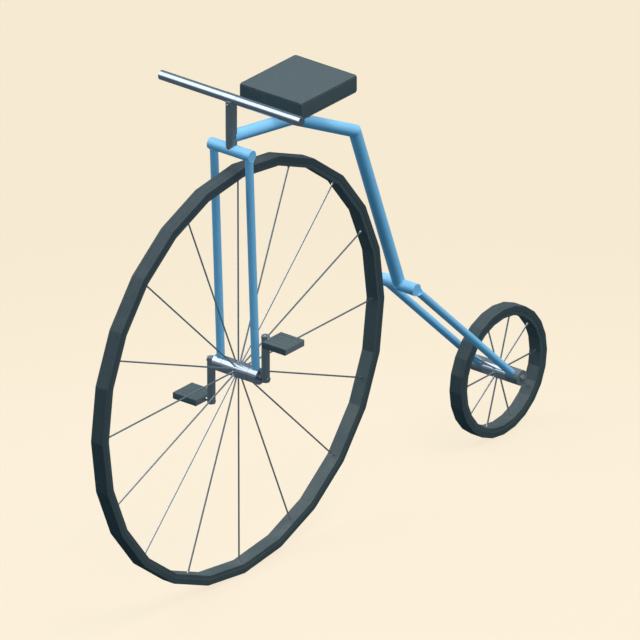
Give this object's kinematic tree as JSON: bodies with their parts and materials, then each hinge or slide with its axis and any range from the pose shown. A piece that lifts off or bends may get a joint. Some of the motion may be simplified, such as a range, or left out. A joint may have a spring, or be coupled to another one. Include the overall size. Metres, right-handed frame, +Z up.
{
  "type": "penny farthing bicycle",
  "caption": "High-wheel bicycle: large front wheel with cranks on its axle, small trailing wheel, bent backbone, block saddle and straight handlebar.",
  "frame": {"origin": "middle of the saddle's top, where the rider sits", "axes": "+X forward, +Y to the rider's left, +Z up; both wheels lie in the XZ plane"},
  "size_m": [2.0955, 0.53, 1.5642],
  "materials": {
    "blue_paint": "satin enamel",
    "dark_steel": "blackened, semi-gloss",
    "bright_steel": "polished",
    "spoke_steel": "drawn wire",
    "rim_steel": "satin",
    "tyre_rubber": "solid rubber",
    "saddle_leather": "smooth, dark slate",
    "pedal_rubber": "block"
  },
  "bodies": {
    "frame": {"backbone_front": "blue_paint", "backbone_middle": "blue_paint", "backbone_rear": "blue_paint", "head_tube": "dark_steel", "cross_tube": "blue_paint", "stay_left": "blue_paint", "stay_right": "blue_paint", "rear_fork_end_left": "dark_steel", "rear_fork_end_right": "dark_steel", "rear_axle": "bright_steel", "saddle_foot": "dark_steel", "saddle_post": "dark_steel", "saddle_plate": "dark_steel", "saddle_pad": "saddle_leather"},
    "fork": {"fork_crown": "blue_paint", "fork_leg_left": "blue_paint", "fork_leg_right": "blue_paint", "fork_bearing_left": "bright_steel", "fork_bearing_right": "bright_steel", "steerer": "dark_steel", "stem": "dark_steel", "handlebar": "bright_steel"},
    "front_wheel": {"front_tyre": "tyre_rubber", "front_rim": "rim_steel", "front_spokes": "spoke_steel", "front_hub": "bright_steel", "front_axle": "bright_steel", "crank_left": "dark_steel", "crank_right": "dark_steel", "pedal_spindle_left": "bright_steel", "pedal_spindle_right": "bright_steel"},
    "left_pedal": {"pedal_left": "pedal_rubber"},
    "right_pedal": {"pedal_right": "pedal_rubber"},
    "rear_wheel": {"rear_tyre": "tyre_rubber", "rear_rim": "rim_steel", "rear_spokes": "spoke_steel", "rear_hub": "bright_steel"}
  },
  "joints": [
    {"name": "steering", "type": "hinge", "parent": "frame", "child": "fork", "pos_m": [0.31317, 0, -0.07401], "axis": [0, 0, 1], "range_deg": [-50, 50]},
    {"name": "front_wheel_spin", "type": "hinge", "parent": "fork", "child": "front_wheel", "pos_m": [0.28317, 0, -0.83951], "axis": [0, 1, 0], "continuous": true},
    {"name": "left_pedal_spin", "type": "hinge", "parent": "front_wheel", "child": "left_pedal", "pos_m": [0.28317, 0.16975, -0.70751], "axis": [0, 1, 0], "continuous": true},
    {"name": "right_pedal_spin", "type": "hinge", "parent": "front_wheel", "child": "right_pedal", "pos_m": [0.28317, -0.16975, -0.97151], "axis": [0, 1, 0], "continuous": true},
    {"name": "rear_wheel_spin", "type": "hinge", "parent": "frame", "child": "rear_wheel", "pos_m": [-0.94583, 0, -1.29301], "axis": [0, 1, 0], "continuous": true}
  ]
}
